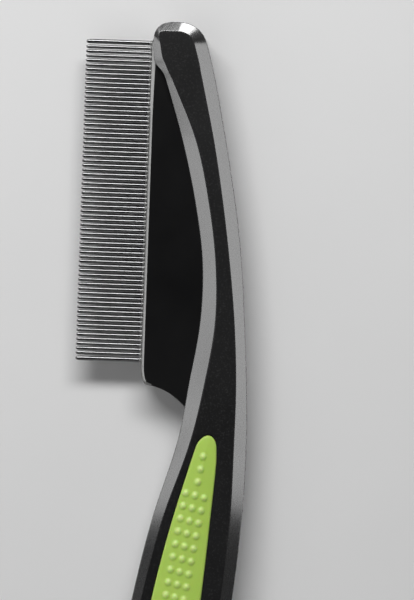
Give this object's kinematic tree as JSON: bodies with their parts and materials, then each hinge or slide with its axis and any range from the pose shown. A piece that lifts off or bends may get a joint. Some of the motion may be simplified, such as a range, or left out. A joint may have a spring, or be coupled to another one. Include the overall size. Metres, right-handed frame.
{
  "type": "flea comb",
  "caption": "Flea comb for pets: fine steel pins in a flat blade, clamped in a split-shell spine and handle with soft studded grip inserts.",
  "frame": {"origin": "middle of the comb's bounding box, on the back face that it lies on", "axes": "+X away from the pin tips, towards the spine's back edge; +Y along the pin row, towards the tip of the spine; +Z from the back face to the front face"},
  "size_m": [0.0438, 0.2152, 0.012],
  "materials": {
    "shell": "black moulded plastic, fine-grained flat faces and polished bevels",
    "blade": "black moulded plastic, very fine satin grain",
    "pin_steel": "bright drawn stainless steel wire",
    "grip": "lime green soft-touch thermoplastic rubber, satin"
  },
  "bodies": {
    "root": {"front_shell": "shell", "back_shell": "shell", "head_plate": "blade", "pins_01": "pin_steel", "pins_02": "pin_steel", "pins_03": "pin_steel", "pins_04": "pin_steel", "pins_05": "pin_steel", "pins_06": "pin_steel", "pins_07": "pin_steel", "pins_08": "pin_steel", "pins_09": "pin_steel", "pins_10": "pin_steel", "pins_11": "pin_steel", "pins_12": "pin_steel", "pins_13": "pin_steel", "pins_14": "pin_steel", "pins_15": "pin_steel", "pins_16": "pin_steel", "pins_17": "pin_steel", "guard_pin_tip": "pin_steel", "guard_pin_heel": "pin_steel", "front_grip": "grip", "back_grip": "grip"}
  },
  "joints": []
}
